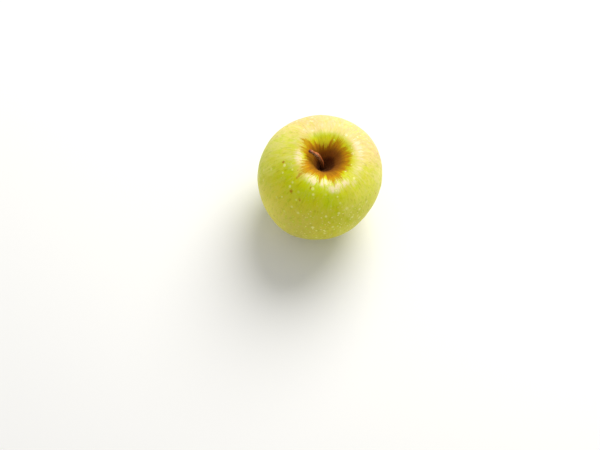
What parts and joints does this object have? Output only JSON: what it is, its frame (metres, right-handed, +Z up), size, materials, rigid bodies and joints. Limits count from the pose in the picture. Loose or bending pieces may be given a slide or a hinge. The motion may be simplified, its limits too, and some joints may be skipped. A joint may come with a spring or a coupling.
{
  "type": "apple",
  "caption": "Whole yellow-green apple standing on its calyx end, with a deep russeted stem cavity, a bent woody stem and dried sepals; fresh fruit to eat or display.",
  "frame": {"origin": "on the resting plane, under the middle of the whole apple's box in X and Y", "axes": "+Z up, from the calyx end that it rests on towards the stem; +X to the right and +Y away in the front view"},
  "size_m": [0.0748, 0.076, 0.0737],
  "materials": {
    "skin": "satin",
    "stalk": "matte",
    "dried_sepal": "matte",
    "dried_stamen": "matte"
  },
  "bodies": {
    "root": {"fruit": "skin", "stem": "stalk", "stamens": "dried_stamen", "sepal_1": "dried_sepal", "sepal_2": "dried_sepal", "sepal_3": "dried_sepal", "sepal_4": "dried_sepal", "sepal_5": "dried_sepal"}
  },
  "joints": []
}
